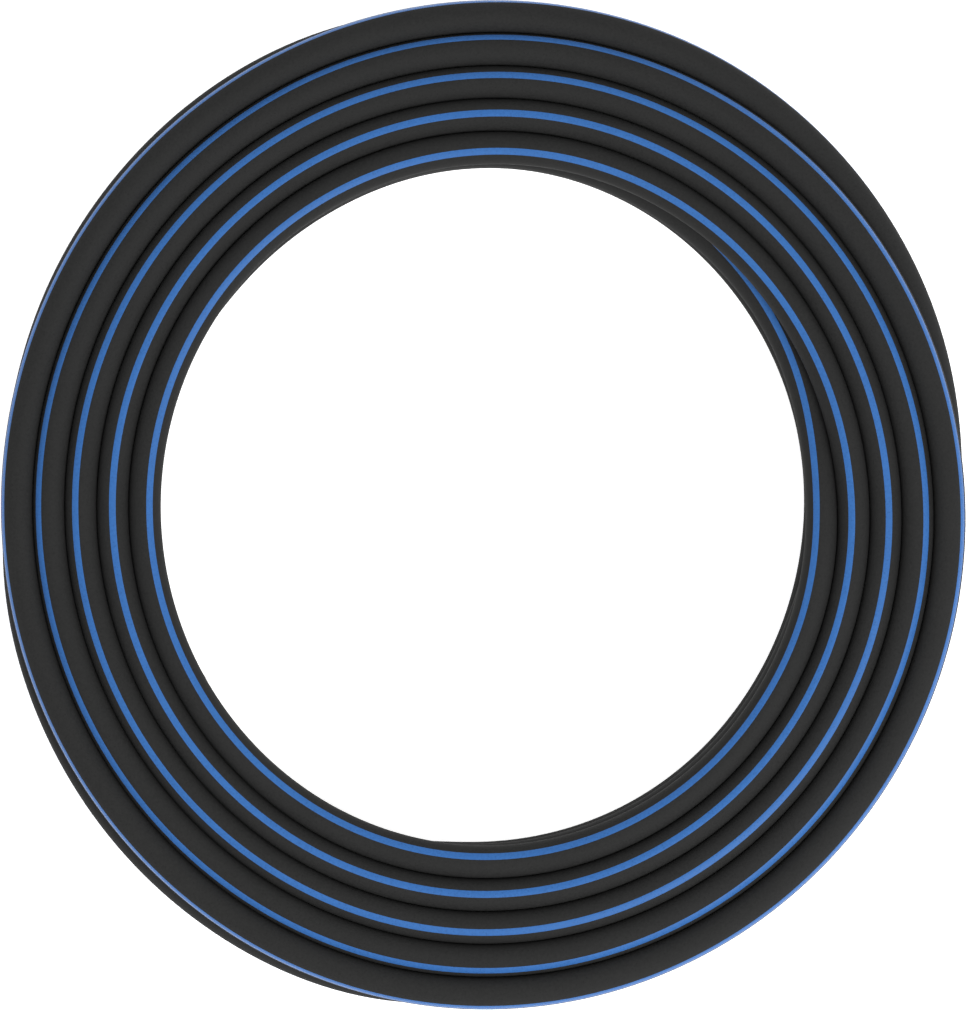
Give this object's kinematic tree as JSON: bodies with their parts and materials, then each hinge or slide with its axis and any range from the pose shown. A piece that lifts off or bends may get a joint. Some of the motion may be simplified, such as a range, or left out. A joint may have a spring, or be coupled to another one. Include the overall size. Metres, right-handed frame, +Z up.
{
  "type": "soaker hose",
  "caption": "Porous rubber soaker hose wound in a flat oval coil, with a swivel nut inlet and a screw-capped outlet.",
  "frame": {"origin": "centre of the coil's underside, on the surface that it lies on", "axes": "+Z up out of the coil, +Y along the long way of its oval"},
  "size_m": [0.4834, 0.502, 0.048],
  "materials": {
    "porous_rubber": "matte, finely pitted crumb rubber, black with one blue co-extruded stripe along its length",
    "seal_rubber": "smooth matte black moulded rubber",
    "black_plastic": "satin black moulded plastic",
    "disc_plastic": "natural off-white moulded plastic",
    "brass": "turned brass, lightly dulled",
    "aluminium": "drawn aluminium sleeve, satin"
  },
  "bodies": {
    "root": {"hose_coil_top": "porous_rubber", "hose_coil_lower": "porous_rubber", "hose_inlet_tail": "porous_rubber", "hose_outlet_tail": "porous_rubber", "inlet_stem": "brass", "inlet_ferrule": "aluminium", "outlet_stem": "brass", "outlet_ferrule": "aluminium"},
    "inlet_nut": {"inlet_swivel_nut": "black_plastic", "inlet_washer": "seal_rubber", "flow_restrictor_disc": "disc_plastic"},
    "cap_seal": {"end_cap_washer": "seal_rubber"},
    "end_cap": {"end_cap": "black_plastic"}
  },
  "joints": [
    {"name": "inlet_nut_swivel", "type": "hinge", "parent": "root", "child": "inlet_nut", "pos_m": [0.15153, -0.17556, 0.016], "axis": [-0.6625, -0.749, 0], "continuous": true},
    {"name": "end_cap_travel", "type": "slide", "parent": "root", "child": "cap_seal", "axis": [0.4355, -0.9002, 0], "range_m": [0, 0.01]},
    {"name": "end_cap_turn", "type": "hinge", "parent": "cap_seal", "child": "end_cap", "pos_m": [-0.15175, -0.098, 0.016], "axis": [0.4355, -0.9002, 0], "range_deg": [0, 1980]}
  ],
  "couplings": [
    {"joint": "end_cap_travel", "follows": "end_cap_turn", "m_per_rad": 0.00028871}
  ]
}
